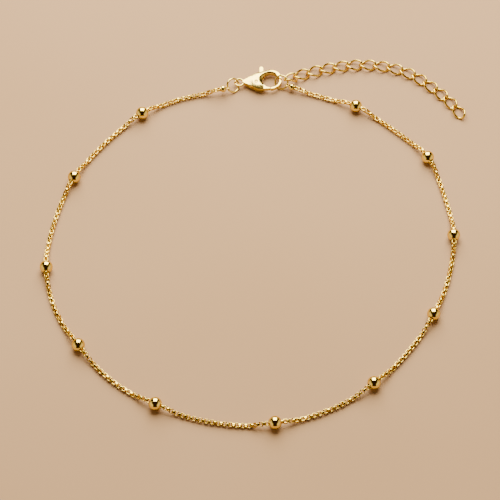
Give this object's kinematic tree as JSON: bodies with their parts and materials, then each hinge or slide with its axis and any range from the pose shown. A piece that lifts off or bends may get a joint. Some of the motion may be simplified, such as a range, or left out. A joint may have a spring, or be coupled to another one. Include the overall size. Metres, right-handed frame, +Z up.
{
  "type": "beaded choker",
  "caption": "Satellite choker lying closed: fine box chain with round polished beads, jump rings, a lobster clasp and a twisted-link extender.",
  "frame": {"origin": "the middle of the outline, on the surface that the choker lies on", "axes": "+Z up from that surface; +Y from the wearer's front to the clasp; +X towards the extender's free end"},
  "size_m": [0.1211, 0.1202, 0.0036],
  "materials": {
    "chain": "polished yellow gold plating, fine square links",
    "beads": "mirror-polished yellow gold plating",
    "findings": "polished yellow gold plating",
    "clasp": "polished pale yellow gold plating over a casting",
    "clasp_lever": "polished pale yellow gold plating over a casting",
    "links": "polished yellow gold plating on round wire"
  },
  "bodies": {
    "choker": {"fine_chain": "chain", "bead_01": "beads", "bead_02": "beads", "bead_03": "beads", "bead_04": "beads", "bead_05": "beads", "bead_06": "beads", "bead_07": "beads", "bead_08": "beads", "bead_09": "beads", "bead_10": "beads", "bead_11": "beads", "end_cap_left": "findings", "end_cap_right": "findings", "jump_ring_left": "findings", "jump_ring_right": "findings", "clasp_body": "clasp", "clasp_pin": "findings", "extender_link_01": "links", "extender_link_02": "links", "extender_link_03": "links", "extender_link_04": "links", "extender_link_05": "links", "extender_link_06": "links", "extender_link_07": "links", "extender_link_08": "links", "extender_link_09": "links", "extender_link_10": "links", "extender_link_11": "links", "extender_link_12": "links", "extender_link_13": "links", "extender_link_14": "links", "extender_link_15": "links"},
    "lever": {"clasp_lever": "clasp_lever"}
  },
  "joints": [
    {"name": "lever_pivot", "type": "hinge", "parent": "choker", "child": "lever", "pos_m": [-0.00046, 0.05138, 0.00135], "axis": [0, 0, 1], "range_deg": [0, 25], "stiffness_Nm_per_rad": 0.01, "springref_deg": -20.05}
  ]
}
